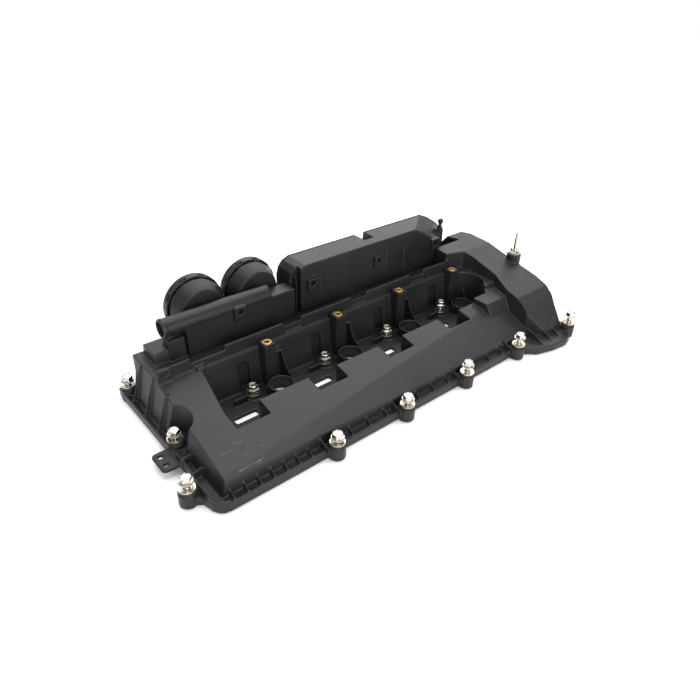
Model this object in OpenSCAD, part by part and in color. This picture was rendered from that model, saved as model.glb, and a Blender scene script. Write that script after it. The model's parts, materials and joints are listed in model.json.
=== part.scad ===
// Cam cover for one bank of a V engine, with oil separator, breather and captive bolts.
// Millimetres, +Z up. Origin: middle of the plug-well row, on the sealing plane.
// +X runs along the bank to the timing end, +Y towards the oil separator.

/* [Bank layout] */
// Spacing of the four plug wells
well_pitch = 100; // [96:0.5:102]
// Inside radius of a plug well
well_r = 12.75; // [11:0.25:13.5]
// Height of the plug-well rim
well_top = 16.8; // [12:0.2:20]
// Distance from a plug well back to its centre bolt
centre_bolt_dx = -28.2; // [-30:0.1:-27]
// Sideways offset of the centre bolts
centre_bolt_y = 13.8; // [12:0.1:15]
// Spacing of the front bolts
front_pitch = 95.4; // [94:0.1:96]
// Position of the first front bolt
front_bolt_x = -163.2; // [-165:0.1:-161]
// Sideways position of the front bolts
front_bolt_y = -115; // [-116:0.1:-114]

/* [Moulding] */
// Left end of the flange
flange_left = -292; // [-294:0.5:-291]
// Front edge of the flange
flange_front = -112.5; // [-114:0.5:-111]
// Back edge of the flange
flange_back = 106; // [105.5:0.5:107]
// Timing end of the flange
flange_right = 232; // [230:0.5:236]
// Height of the flange ledge
ledge_z = 10; // [8:0.5:11]
// Wall thickness of the moulding
wall = 3; // [2.5:0.1:3.2]
// Height of the rear deck
deck_z = 52; // [50:0.5:54]
// Height of the rail along the valley
rail_top = 65; // [60:0.5:68]
// Height of the threaded posts
post_top = 57.4; // [54:0.2:60]

/* [Separator and breather] */
// Top of the separator box
box_top = 112.5; // [100:0.5:116]
// Front face of the separator box
box_front = 61; // [60:0.5:63]
// Back face of the separator box
box_back = 97; // [94:0.5:99]
// Outside radius of the breather pipe
pipe_r = 10.4; // [9:0.1:11]
// Bore radius of the breather pipe
pipe_bore_r = 8.4; // [7:0.1:8.8]
// Spacing of the two pressure valves
valve_pitch = 70; // [69.6:0.1:72]
// Outside radius of a valve cap
cap_r = 34.3; // [32:0.1:34.6]
// Travel of a valve diaphragm
valve_travel = 3; // [1:0.1:3.4]

/* [Fasteners] */
// Shank radius of a cover bolt
bolt_r = 3; // [2.9:0.05:3]
// Bore radius of a limiter sleeve
sleeve_bore_r = 3.3; // [3.25:0.05:3.4]
// Shank length of an edge bolt
edge_shank = 24; // [22:0.5:24]
// Shank length of a centre bolt
centre_shank = 13; // [12:0.5:13]
// Washer radius of a limiter sleeve
washer_r = 8.2; // [7.8:0.1:8.3]

/* [Hidden] */
$fn = 48;

base_z = 0.8;
well_x = [for (i = [0:3]) (i - 1.5) * well_pitch];
front_bolts = [for (i = [0:3]) [front_bolt_x + i * front_pitch, front_bolt_y]];
corner_bolt = [-306, -79.6];
left_bolt = [-284.2, -13.9];
left_rear_bolt = [-284, 95.3];
timing_bolt = [219, -122.5];
rear_bolts = [[-150, 107.5], [-20, 107.5], [110, 107.5]];
edge_bolts = concat(front_bolts, [corner_bolt, left_bolt, left_rear_bolt, timing_bolt], rear_bolts);
centre_bolts = [for (x = well_x) [x + centre_bolt_dx, centre_bolt_y]];
edge_seat = 20.2;
centre_seat = 9.2;
washer_t = 1.2;
isolator_t = 3;
edge_boss_top = edge_seat - washer_t - isolator_t;
centre_boss_top = centre_seat - washer_t - isolator_t;
boss_r = 8.9;
isolator_bore_r = 5;
sleeve_r = 4.8;
stud_pos = [229, -15];
stud_seat = 76;
stud_boss_r = 9.6;
stud_grip = 22;
stud_pin_len = 20;

// Cam ridge on the front side of the valley
ridge_edge_y = -33.5;
ridge_edge_z = 38.6;
ridge_slope = 0.17;
foot_y = -102;
foot_z = 20;
crease_y = -70;
crease_z = ridge_edge_z + ridge_slope * (crease_y - ridge_edge_y);
slope_tilt_x = 21.2;
slope_tilt_y = 1.4;
crease_x = -37;
rail_y = 36;
body_back = 98;
body_left = -284;
body_right = 200;
floor_z = 3.5;
step_z = 50;
far = 400;
end_wall_top_x = -273;
saddle_r = 25;
pocket_dx = -69;
pocket_w = 38;
pocket_y = -55;
front_niche_r = 11;
left_niche_r = 19;
lip_w = 2.8;
lip_h = 1.6;
rib_t = 1.6;
box_left = -88;
box_right = 196;
box_wall = 2.4;
box_end_x = 104;
box_end_turn = -51;
box_slot_w = 11;
box_slot_d = 9;
box_notch_x0 = 33;
box_notch_x1 = 48;
box_notch_y = 76;
box_notch_drop = 9;
pipe_x0 = -250;
pipe_x1 = -120;
pipe_y = 68;
pipe_z = 89.5;
duct_x0 = -226;
duct_x1 = box_left - 0.2;
duct_y0 = pipe_y - pipe_r + 0.3;
duct_y1 = pipe_y + pipe_r - 0.5;
valve_x = -193;
valve_z = 85;
insert_bore_r = 2.6;
ball_x = 178.6;
ball_y = 80;
ball_z = 101.5;
stud_pin_r = 2.4;
post_y = 25.6;
insert_r = 5.6;
insert_len = 12;
tab_x = -304;
tab_holes_y = [-20.5, -33.5];
tab_hole_r = 2.6;
seal_bar_w = 6;
window_x0 = -67;
window_x1 = -39;
window_y0 = -16.5;
window_y1 = -7.5;
gasket_w = 2.6;
seal_top = base_z + 1.2;
fin_dx = front_niche_r + 0.6;
rim_top = 18.5;
plate_top = 66;
hex_r = 6;
head_h = 5.6;
bolt_flange_r = 7.2;
post_stop_y = 97 - valve_travel;
ball_post_top = 90;

function ridge_z(y) = ridge_edge_z + ridge_slope * (y - ridge_edge_y);

// Sweeps a Y-Z profile along X
module along_x(x0, x1) {
    translate([x0, 0, 0])
        rotate([90, 0, 90])
            linear_extrude(height = x1 - x0)
                children();
}

// Sweeps an X-Z profile along Y
module along_y(y0, y1) {
    translate([0, y1, 0])
        rotate([90, 0, 0])
            linear_extrude(height = y1 - y0)
                children();
}

module up(z0, z1) {
    translate([0, 0, z0])
        linear_extrude(height = z1 - z0)
            children();
}

module rod(p, r, z0, z1) {
    translate([p[0], p[1], z0])
        cylinder(r = r, h = z1 - z0);
}

module slab(a, b) {
    translate(a)
        cube([b[0] - a[0], b[1] - a[1], b[2] - a[2]]);
}

// Half-space above the steep front face of the ridge
module above_front_slope(drop) {
    translate([crease_x, crease_y, crease_z - drop])
        rotate([slope_tilt_x, slope_tilt_y, 0])
            translate([-far, -far, 0])
                cube([2 * far, 2 * far, 100]);
}

// Ridge, left plateau and rear deck, inset by t
module body_mass(t, z0) {
    difference() {
        intersection() {
            along_x(body_left + t, body_right - t)
                polygon([
                    [foot_y + t, z0],
                    [foot_y + t, ridge_z(foot_y + t) - t],
                    [rail_y, ridge_z(rail_y) - t],
                    [rail_y, deck_z - t],
                    [body_back - t, deck_z - t],
                    [body_back - t, z0]
                ]);
            along_y(foot_y - 10, body_back + 10)
                polygon([
                    [body_left + t, z0],
                    [body_left + t, ledge_z],
                    [end_wall_top_x + t, deck_z],
                    [body_right, deck_z + 10],
                    [body_right, z0]
                ]);
        }
        above_front_slope(t);
    }
}

// Open space over the plug wells, seen from above
module valley_plan(t) {
    polygon([
        [-226 - t, rail_y + t],
        [-238 - t, ridge_edge_y - t],
        [well_x[3], ridge_edge_y - t],
        [well_x[3] + 12, -24 - t],
        [well_x[3], rail_y + t]
    ]);
    translate([well_x[3], 1])
        circle(r = saddle_r + t);
    translate([well_x[3] - 10, ridge_edge_y - t])
        square([14 + t, rail_y - ridge_edge_y + 2 * t]);
}

// Notches in the ridge beside each centre bolt
module pocket_plan(t) {
    for (x = well_x)
        translate([x + pocket_dx - pocket_w / 2 - t, pocket_y - t])
            square([pocket_w + 2 * t, ridge_edge_y - pocket_y + 2 * t]);
}

// Round recesses that clear the bolt heads
module niche_plan(t) {
    for (p = front_bolts)
        translate(p)
            circle(r = front_niche_r + t);
    translate(left_bolt)
        circle(r = left_niche_r + t);
    translate(left_rear_bolt)
        circle(r = front_niche_r + t);
}

// Raised block and step between the ridge and the timing end
module ridge_block(t, z0) {
    along_x(128 + t, body_right - t)
        polygon([
            [-64 + t, z0],
            [-64 + t, 33],
            [-56 + t, 46 - t],
            [-26, 46 - t],
            [-26, z0]
        ]);
    along_x(140, body_right - t)
        polygon([
            [-27, z0],
            [-27, step_z - t],
            [rail_y + 2, step_z - t],
            [rail_y + 2, z0]
        ]);
}

// Arched housing over the cam drive, inset by t
module arch_mass(t, z0) {
    intersection() {
        along_x(140 + t, flange_right - 2 - t)
            polygon([
                [-119 + t, z0],
                [-119 + t, 14],
                [-95 + t, 37.5 - t],
                [-88 + t, 45 - t],
                [-76 + t, 52 - t],
                [4, 68.5 - t],
                [30, 74.5 - t],
                [64, 76 - t],
                [82 - t, 73 - t],
                [body_back - t, 54 - t],
                [body_back - t, z0]
            ]);
        up(z0, 90)
            polygon([
                [176 + t, -116 + t],
                [163 + t, -94 + t],
                [163 + t, -84],
                [165 + t, -56],
                [177 + t, -26],
                [179 + t, 14],
                [176 + t, 30],
                [150 + t, 38 + t],
                [150 + t, box_front - 1.5 - t],
                [199 + t, box_front - 1.5 - t],
                [199 + t, body_back - t],
                [flange_right - 2 - t, body_back - t],
                [flange_right - 2 - t, -55],
                [227 - t, -72],
                [222 - t, -90],
                [213 - t, -112],
                [211 - t, -116 + t]
            ]);
    }
}

// Flange outline without its bolt bosses
module flange_plan() {
    polygon([
        [flange_left, flange_back],
        [flange_left, -62],
        [-300, -72],
        [-302, -88],
        [-297.5, -91],
        [-296, -97],
        [-294.5, -103],
        [-291.5, -108.2],
        [-287, -111.3],
        [-281, flange_front],
        [128, flange_front],
        [138, -121],
        [149, -130],
        [172, -136],
        [194, -138.5],
        [206, -135.5],
        [226, -118],
        [flange_right, -90],
        [flange_right, flange_back]
    ]);
}

// Raised lip round the outer edge of the ledge
module lip_plan() {
    translate([-281, flange_front])
        square([409, lip_w]);
    translate([flange_left, -58])
        square([lip_w, flange_back + 58]);
}

module cover_outer() {
    difference() {
        up(base_z, ledge_z)
            flange_plan();
        up(floor_z, 90)
            valley_plan(0);
        up(floor_z, 90)
            pocket_plan(0);
    }
    up(ledge_z - 1, ledge_z + lip_h)
        lip_plan();
    difference() {
        union() {
            body_mass(0, base_z);
            ridge_block(0, base_z);
        }
        up(floor_z, 90)
            valley_plan(0);
        up(floor_z, 90)
            pocket_plan(0);
        up(ledge_z, 90)
            niche_plan(0);
    }
    difference() {
        arch_mass(0, base_z);
        up(floor_z, step_z + 1)
            valley_plan(0);
    }
    for (p = edge_bolts)
        rod(p, boss_r, base_z, edge_boss_top);
    rod(stud_pos, stud_boss_r, 40, stud_seat - washer_t - 0.2);
    for (p = centre_bolts)
        rod(p, boss_r, base_z, centre_boss_top);
    for (x = well_x)
        rod([x, 0], well_r + 2.6, base_z, well_top);
    valley_fittings();
    rail();
    flange_ribs();
    harness_parts();
}

// Draughted back wall, posts and bars in the valley
module valley_fittings() {
    difference() {
        along_x(-227, well_x[3] + 3)
            polygon([
                [27, floor_z - 1],
                [34, deck_z - 3],
                [rail_y + 1, deck_z - 3],
                [rail_y + 1, floor_z - 1]
            ]);
        for (p = centre_bolts)
            slab([p[0] - 7, 20, floor_z], [p[0] + 7, rail_y - 1, 31]);
        for (p = centre_bolts)
            translate([p[0], 20, 31])
                rotate([-90, 0, 0])
                    cylinder(r = 7, h = rail_y - 21);
    }
    for (x = well_x) {
        slab([x - 7, post_y - 7, base_z], [x + 7, rail_y + 1, post_top - 14]);
        slab([x - 7, post_y - 7, base_z], [x + 7, post_y + 7, post_top]);
        slab([x - 2, post_y + 6, post_top - 16], [x + 2, rail_y + 1, post_top - 3]);
        slab([x + 7, 25, 37.5], [x + 19, 34, 40]);
        along_x(x + 18, x + 19.6)
            polygon([[34, base_z], [34, 40], [25, 40], [19, 25], [8, 14], [8, base_z]]);
    }
    for (p = centre_bolts)
        slab([p[0] - 27, 8, base_z], [p[0] - 10, 11, 12]);
}

// Upright wall along the back of the valley
module rail() {
    for (x = well_x) {
        slab([x - 46, rail_y, deck_z - 4], [x + 30, rail_y + 2.4, rail_top]);
        slab([x + 29, rail_y + 1, deck_z - 4], [x + 55, rail_y + 2.4, rail_top - 5]);
    }
    slab([-238, rail_y, deck_z - 4], [-194, rail_y + 2.4, rail_top - 6]);
    slab([-271, rail_y, deck_z - 4], [-236, rail_y + 2.4, rail_top]);
}

// Small webs on the ledge and fins beside the bosses
module flange_ribs() {
    for (x = [-276:14.4:-184])
        ledge_web(x);
    for (i = [0:2])
        for (k = [1:3])
            ledge_web(front_bolts[i][0] + k * front_pitch / 4 + 1);
    for (p = front_bolts)
        for (s = [-1, 1])
            web(p[0] + s * fin_dx)
                polygon([[-118, ledge_z - 1], [-118, 16], [-98, 22.2], [-98, ledge_z - 1]]);
    for (y = [16, 46, 75])
        end_web(y)
            polygon([
                [-291, ledge_z - 1],
                [-289, ledge_z + 2],
                [-275, deck_z - 1],
                [-272, deck_z - 1],
                [-272, ledge_z - 1]
            ]);
    for (y = [-44, -66])
        end_web(y)
            polygon([[-295, ledge_z - 1], [-295, 17], [-283, 22], [-282, ledge_z - 1]]);
    along_x(-293, -291)
        polygon([[-61, ledge_z - 1], [-61, rim_top], [-30, rim_top], [-30, ledge_z - 1]]);
    corner_rim();
    for (x = [158, 176, 192])
        web(x)
            polygon([[-128, ledge_z - 1], [-128, 12], [-113, 21], [-100, 22], [-100, ledge_z - 1]]);
}

// Curved wall round the front corner, falling to the lip
module corner_rim() {
    intersection() {
        up(ledge_z - 1, rim_top)
            polygon([
                [-293, -60],
                [-295.6, -72],
                [-296.6, -84],
                [-295.6, -97],
                [-293.6, -103.5],
                [-290.6, -108.2],
                [-286.6, -111],
                [-280, flange_front],
                [-280, flange_front + 2.4],
                [-285.6, -108.7],
                [-288.8, -106.3],
                [-291.2, -102.5],
                [-293.2, -96.5],
                [-294.3, -84],
                [-293.4, -72],
                [-291, -60]
            ]);
        along_x(-300, -270)
            polygon([
                [-115, ledge_z - 2],
                [-115, 12.5],
                [-104, 16],
                [-96, rim_top + 1],
                [-50, rim_top + 1],
                [-50, ledge_z - 2]
            ]);
    }
}

module web(x) {
    along_x(x - rib_t / 2, x + rib_t / 2)
        children();
}

module end_web(y) {
    along_y(y - rib_t / 2, y + rib_t / 2)
        children();
}

module ledge_web(x) {
    web(x)
        polygon([
            [flange_front + 1, ledge_z - 1],
            [flange_front + 1, ledge_z + lip_h],
            [foot_y + 1, foot_z - 2],
            [foot_y + 1, ledge_z - 1]
        ]);
}

// Tab with two holes, cable plate and the pad under the pipe
module harness_parts() {
    difference() {
        up(7, 11)
            polygon([
                [-290, -41],
                [-308, -41],
                [-311, -38],
                [-311, -16],
                [-308, -13],
                [-290, -13]
            ]);
        for (y = tab_holes_y)
            rod([tab_x, y], tab_hole_r, 6, 12);
    }
    slab([-270, rail_y - 2, 47], [-262, rail_y + 1, 54]);
    difference() {
        slab([-274.5, rail_y - 3, 46], [-258, rail_y - 1, plate_top]);
        slab([-269, rail_y - 4, 58], [-263, rail_y, 60.4]);
    }
    slab([-232, 30, 47], [-222, 35, 53]);
    along_x(-262, -226)
        polygon([[62, deck_z - 1], [66, 64], [92, 64], [95, deck_z - 1]]);
    along_x(-246, -227)
        polygon([[60, deck_z - 1], [62, 76], [76, 76], [78, deck_z - 1]]);
}

// Columns kept solid inside the chambers
module boss_clearance() {
    translate(stud_pos)
        circle(r = stud_boss_r);
}

// Sealing bead that follows the flange
module gasket_ring() {
    up(-1, base_z + 2)
        difference() {
            gasket_plan(0);
            gasket_plan(gasket_w);
        }
}

module gasket_plan(t) {
    polygon([
        [-289 + t, 86 - t],
        [-289 + t, 8 - t],
        [-272 + t, 2],
        [-272 + t, -30],
        [-289 + t, -38],
        [-289 + t, -66],
        [-280 + t, -104],
        [-276 + t, -106 + t],
        [134 - t, -106 + t],
        [146 - t, -114 + t],
        [206, -122 + t],
        [212 - t, -114.5],
        [228 - t, -96],
        [228 - t, 97 - t],
        [-272 + t, 97 - t],
        [-273 + t, 86 - t]
    ]);
}

module cover_shell() {
    color("dimgray")
        difference() {
            cover_outer();
            difference() {
                union() {
                    body_mass(wall, -1);
                    ridge_block(wall, -1);
                }
                up(-2, 90)
                    valley_plan(wall);
                up(-2, 90)
                    pocket_plan(wall);
                up(-2, 90)
                    niche_plan(wall);
                up(-2, 90)
                    boss_clearance();
            }
            difference() {
                arch_mass(wall, -1);
                up(-2, step_z + 2)
                    valley_plan(wall);
                up(-2, 90)
                    boss_clearance();
            }
            for (p = edge_bolts)
                rod(p, isolator_bore_r, -1, edge_boss_top + 1);
            for (p = centre_bolts)
                rod(p, isolator_bore_r, -1, centre_boss_top + 1);
            rod(stud_pos, isolator_bore_r, stud_seat - 2 * stud_grip, stud_seat);
            for (x = well_x)
                rod([x, 0], well_r, -1, well_top + 1);
            for (x = well_x)
                slab([x + window_x0, window_y0, -1], [x + window_x1, window_y1, floor_z + 1]);
            for (x = well_x)
                rod([x, post_y], insert_r, post_top - insert_len - 2, post_top + 1);
            gasket_ring();
            for (x = well_x)
                rod([x, 0], well_r + 3.6, -1, seal_top);
            slab([well_x[0], -seal_bar_w / 2, -1], [well_x[3], seal_bar_w / 2, seal_top]);
        }
}

// Tall separator box with its sloped timing end
module box_mass(t, z0) {
    difference() {
        intersection() {
            along_y(box_front + t, box_back - t)
                polygon([
                    [box_left + t, z0],
                    [box_left + t, box_top - 20],
                    [box_left + 3 + t, box_top - 10],
                    [box_left + 9 + t, box_top - 3.5 - t / 2],
                    [box_left + 18 + t, box_top - t],
                    [box_right, box_top - t],
                    [box_right, z0]
                ]);
            translate([box_end_x, box_front, 0])
                rotate([90, 0, box_end_turn])
                    translate([0, 0, -far / 2])
                        linear_extrude(height = far)
                            polygon([
                                [-far, z0],
                                [-far, box_top - t],
                                [2 - t / 2, box_top - t],
                                [12 - t, box_top - 7 - t],
                                [24 - t, box_top - 19 - t],
                                [33 - t, box_top - 31 - t],
                                [37 - t, box_top - 42 - t],
                                [37 - t, z0]
                            ]);
            slab([-far, box_front + t, z0], [box_right - t, box_back - t, box_top]);
        }
        slab(
            [box_left - 1, box_front - 1, z0 - 1],
            [box_left + box_slot_w + t, box_front + box_slot_d + t, box_top + 1]
        );
        slab(
            [box_notch_x0 - t, box_notch_y - t, box_top - box_notch_drop - t],
            [box_notch_x1 + t, box_back + 1, box_top + 1]
        );
    }
}

module separator_housing() {
    color("darkslategray") {
        difference() {
            box_mass(0, deck_z);
            box_mass(box_wall, deck_z - 1);
            slab([-far / 2, box_back - 3, deck_z - 1], [far / 2, box_back + 1, box_top + 1]);
        }
        for (x = [-46, -8, 60, 92])
            web(x)
                polygon([
                    [box_front - 1.8, deck_z],
                    [box_front - 0.2, box_top - 12],
                    [box_front + 1, box_top - 12],
                    [box_front + 1, deck_z]
                ]);
        web(box_left + 5)
            polygon([
                [box_front + 1, deck_z],
                [box_front + 1, box_top - 14],
                [box_front + box_slot_d + 1, box_top - 8],
                [box_front + box_slot_d + 1, deck_z]
            ]);
        for (x = [-62, 43])
            clip_bracket(x, box_front, 88);
        clip_bracket(147, box_front, 84);
        rod([ball_x, ball_y], 5, ball_post_top - 14, ball_post_top);
    }
}

// Square-holed bracket for a wiring clip
module clip_bracket(x, y, z) {
    difference() {
        slab([x - 7.5, y - 4.5, z - 9], [x + 7.5, y + 0.5, z + 7]);
        slab([x - 5.5, y - 2, z - 10], [x + 5.5, y + 0.5, z + 5]);
        slab([x - 2.6, y - 6, z - 2.2], [x + 2.6, y - 1, z + 3]);
    }
}

module separator_back_plate() {
    color("slategray")
        intersection() {
            box_mass(0, deck_z);
            slab([-far / 2, box_back - 3, deck_z], [far / 2, box_back, box_top]);
        }
}

// Breather pipe with the channel that carries it
module breather_duct() {
    color("darkslategray")
        difference() {
            union() {
                along_x(pipe_x0, pipe_x1)
                    translate([pipe_y, pipe_z])
                        circle(r = pipe_r);
                along_x(pipe_x0 + 1, pipe_x0 + 4)
                    translate([pipe_y, pipe_z])
                        circle(r = pipe_r + 0.6);
                along_x(duct_x0, duct_x1)
                    polygon([
                        [duct_y0, deck_z],
                        [duct_y0, pipe_z],
                        [duct_y1, pipe_z],
                        [duct_y1, deck_z]
                    ]);
                clip_bracket(-163, duct_y0, 86);
            }
            along_x(pipe_x0 - 1, duct_x0)
                translate([pipe_y, pipe_z])
                    circle(r = pipe_bore_r);
            along_x(duct_x0 - 1, pipe_x1 - 4)
                translate([pipe_y, pipe_z])
                    circle(r = pipe_bore_r - 0.6);
            along_x(duct_x0 + box_wall, duct_x1 - box_wall)
                polygon([
                    [duct_y0 + box_wall, deck_z - 1],
                    [duct_y0 + box_wall, pipe_z - 4],
                    [duct_y1 - box_wall, pipe_z - 4],
                    [duct_y1 - box_wall, deck_z - 1]
                ]);
        }
}

// Turned shape about the valve axis, profile as (radius, distance along Y)
module turned(x) {
    translate([x, 0, valve_z])
        rotate([-90, 0, 0])
            rotate_extrude($fn = 96)
                children();
}

module pcv_housing(x) {
    color("dimgray")
        difference() {
            union() {
                turned(x)
                    polygon([
                        [0, 81], [25.5, 81], [28.2, 87], [31.5, 97], [31.5, 99.4], [29.4, 99.4],
                        [29.4, 97.4], [25.6, 88], [23.2, 84], [10, 84], [10, post_stop_y], [8, post_stop_y],
                        [8, 84], [0, 84]
                    ]);
                slab([x - 16, 82, deck_z], [x + 16, 92, valve_z - 22]);
            }
            turned(x)
                polygon([[10.2, 84], [23.2, 84], [25.6, 88], [29.4, 97.4], [29.4, 99.5], [10.2, 99.5]]);
        }
}

module pcv_cap(x) {
    color("darkslategray")
        difference() {
            turned(x)
                polygon([
                    [0, 110.5], [27, 110.5], [30, 109.6], [cap_r - 0.8, 109.6], [cap_r, 108.8], [cap_r, 99.8],
                    [31.8, 99.8], [31.8, 103.2], [26, 103.2], [26, 108.5], [0, 108.5]
                ]);
            turned(x)
                polygon([[0, 107], [4, 107], [4, 112], [0, 112]]);
            for (a = [20:40:380])
                translate([x, 0, valve_z])
                    rotate([0, a, 0])
                        slab([-4, 98, cap_r - 1.5], [4, 105, cap_r + 2]);
        }
}

module pcv_diaphragm(x) {
    color("black")
        turned(x)
            polygon([
                [0, 93], [3.2, 93], [3.2, 97.6], [12.6, 97.6], [12.6, 98.6], [4.6, 98.6],
                [4.6, 99.4], [22, 99.4], [24.6, 100.4], [24.6, 101.8], [21, 101.2], [0, 101.2]
            ]);
}

// Return spring, drawn as stacked rings at its working length
module pcv_spring(x) {
    color("silver")
        for (k = [0:3])
            turned(x)
                translate([5.6, 85.2 + 2.3 * k])
                    circle(r = 0.6, $fn = 16);
}

module pcv_housing_1() {
    pcv_housing(valve_x);
}

module pcv_housing_2() {
    pcv_housing(valve_x + valve_pitch);
}

module pcv_cap_1() {
    pcv_cap(valve_x);
}

module pcv_cap_2() {
    pcv_cap(valve_x + valve_pitch);
}

module pcv_diaphragm_1() {
    pcv_diaphragm(valve_x);
}

module pcv_diaphragm_2() {
    pcv_diaphragm(valve_x + valve_pitch);
}

module pcv_spring_1() {
    pcv_spring(valve_x);
}

module pcv_spring_2() {
    pcv_spring(valve_x + valve_pitch);
}

module thread_inserts() {
    color("gold")
        for (x = well_x)
            difference() {
                rod([x, post_y], insert_r, post_top - insert_len, post_top + 0.3);
                rod([x, post_y], insert_bore_r, post_top - insert_len - 1, post_top + 1);
            }
}

module perimeter_gasket() {
    color("black")
        up(0, base_z + 2)
            difference() {
                gasket_plan(0);
                gasket_plan(gasket_w);
            }
}

module well_seals() {
    color("black")
        difference() {
            union() {
                for (x = well_x)
                    rod([x, 0], well_r + 3.6, 0, seal_top);
                slab([well_x[0], -seal_bar_w / 2, 0], [well_x[3], seal_bar_w / 2, seal_top]);
            }
            for (x = well_x)
                rod([x, 0], well_r, -1, 4);
        }
}

module window_seals() {
    color("black")
        for (x = well_x)
            difference() {
                slab([x + window_x0 - 2, window_y0 - 2, 0], [x + window_x1 + 2, window_y1 + 2, base_z]);
                slab([x + window_x0, window_y0, -1], [x + window_x1, window_y1, base_z + 1]);
            }
}

module sleeve(p, seat, r_bore) {
    difference() {
        union() {
            rod(p, sleeve_r, 0.3, seat - washer_t);
            rod(p, washer_r, seat - washer_t, seat);
        }
        rod(p, r_bore, 0, seat + 1);
    }
}

module isolator(p, top) {
    difference() {
        union() {
            rod(p, washer_r + 0.2, top - isolator_t, top);
            rod(p, isolator_bore_r, top - isolator_t - 2, top);
        }
        rod(p, sleeve_r, top - isolator_t - 3, top + 1);
    }
}

module edge_sleeves() {
    color("silver")
        for (p = edge_bolts)
            sleeve(p, edge_seat, sleeve_bore_r);
}

module centre_sleeves() {
    color("silver")
        for (p = centre_bolts)
            sleeve(p, centre_seat, sleeve_bore_r);
}

module edge_isolators() {
    color("black")
        for (p = edge_bolts)
            isolator(p, edge_seat - washer_t);
}

module centre_isolators() {
    color("black")
        for (p = centre_bolts)
            isolator(p, centre_seat - washer_t);
}

module stud_sleeve() {
    color("silver")
        difference() {
            union() {
                rod(stud_pos, sleeve_r, stud_seat - stud_grip, stud_seat - washer_t);
                rod(stud_pos, washer_r, stud_seat - washer_t, stud_seat);
            }
            rod(stud_pos, sleeve_bore_r, stud_seat - stud_grip - 1, stud_seat + 1);
        }
}

// Oil baffle fixed under the rear deck
module baffle_plate() {
    color("gray")
        slab([-262, 44, deck_z - wall - 2], [144, 92, deck_z - wall]);
}

module ball_stud() {
    color("dimgray") {
        rod([ball_x, ball_y], 4.4, ball_post_top, ball_post_top + 2);
        rod([ball_x, ball_y], 3, ball_post_top, ball_z - 6);
        rod([ball_x, ball_y], 2, ball_z - 8, ball_z);
        translate([ball_x, ball_y, ball_z])
            sphere(r = 4);
    }
}

// Flanged hex bolt held by its sleeve
module cover_bolt(p, seat, lift, shank) {
    z = seat + lift;
    color("lightgray") {
        rod(p, bolt_r, z - shank, z + 1);
        rod(p, bolt_flange_r, z, z + 1.3);
        translate([p[0], p[1], z])
            rotate([0, 0, 13 * p[0]])
                cylinder(r = hex_r, h = head_h, $fn = 6);
        rod(p, 4.6, z, z + head_h + 0.6);
    }
}

// Hexagon bolt with a dished head
module well_bolt(p, lift) {
    z = centre_seat + lift;
    color("lightgray")
        difference() {
            union() {
                rod(p, bolt_r, z - centre_shank, z + 1);
                rod(p, bolt_flange_r - 0.2, z, z + 1.5);
                translate([p[0], p[1], z])
                    rotate([0, 0, 9 * p[0]])
                        cylinder(r = hex_r - 0.3, h = head_h, $fn = 6);
            }
            translate([p[0], p[1], z + head_h - 1.6])
                cylinder(r1 = 2.4, r2 = 4.2, h = 1.8);
        }
}

module bolt_front_1() {
    cover_bolt(front_bolts[0], edge_seat, 4.2, edge_shank);
}

module bolt_front_2() {
    cover_bolt(front_bolts[1], edge_seat, 5.2, edge_shank);
}

module bolt_front_3() {
    cover_bolt(front_bolts[2], edge_seat, 7.5, edge_shank);
}

module bolt_front_4() {
    cover_bolt(front_bolts[3], edge_seat, 8, edge_shank);
}

module bolt_corner() {
    cover_bolt(corner_bolt, edge_seat, 7, edge_shank);
}

module bolt_left() {
    cover_bolt(left_bolt, edge_seat, 4.2, edge_shank);
}

module bolt_left_rear() {
    cover_bolt(left_rear_bolt, edge_seat, 4.2, edge_shank);
}

module bolt_timing() {
    cover_bolt(timing_bolt, edge_seat, 8.5, edge_shank);
}

module bolt_centre_1() {
    well_bolt(centre_bolts[0], 4.2);
}

module bolt_centre_2() {
    well_bolt(centre_bolts[1], 4.2);
}

module bolt_centre_3() {
    well_bolt(centre_bolts[2], 4.6);
}

module bolt_centre_4() {
    well_bolt(centre_bolts[3], 8);
}

module bolt_rear_1() {
    cover_bolt(rear_bolts[0], edge_seat, 4.5, edge_shank);
}

module bolt_rear_2() {
    cover_bolt(rear_bolts[1], edge_seat, 4.5, edge_shank);
}

module bolt_rear_3() {
    cover_bolt(rear_bolts[2], edge_seat, 4.5, edge_shank);
}

// Bolt with a second threaded end above its hexagon
module stud_bolt() {
    z = stud_seat + 0.4;
    color("lightgray") {
        rod(stud_pos, bolt_r, z - 36, z + 1);
        rod(stud_pos, bolt_flange_r, z, z + 1.3);
        translate([stud_pos[0], stud_pos[1], z])
            cylinder(r = hex_r, h = head_h, $fn = 6);
        rod(stud_pos, stud_pin_r, z + head_h - 1, z + head_h + stud_pin_len);
        translate([stud_pos[0], stud_pos[1], z + head_h + stud_pin_len])
            cylinder(r1 = stud_pin_r, r2 = 1, h = 2);
    }
}

cover_shell();
separator_housing();
separator_back_plate();
breather_duct();
pcv_housing_1();
pcv_housing_2();
pcv_cap_1();
pcv_cap_2();
pcv_diaphragm_1();
pcv_diaphragm_2();
pcv_spring_1();
pcv_spring_2();
thread_inserts();
perimeter_gasket();
well_seals();
window_seals();
edge_sleeves();
centre_sleeves();
edge_isolators();
centre_isolators();
baffle_plate();
ball_stud();
stud_sleeve();
bolt_front_1();
bolt_front_2();
bolt_front_3();
bolt_front_4();
bolt_corner();
bolt_left();
bolt_left_rear();
bolt_timing();
bolt_centre_1();
bolt_centre_2();
bolt_centre_3();
bolt_centre_4();
bolt_rear_1();
bolt_rear_2();
bolt_rear_3();
stud_bolt();
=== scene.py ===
"""Finished surfaces for a moulded engine cam cover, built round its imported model."""

import json
import math

import bmesh
import bpy
from mathutils import Matrix, Vector


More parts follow.
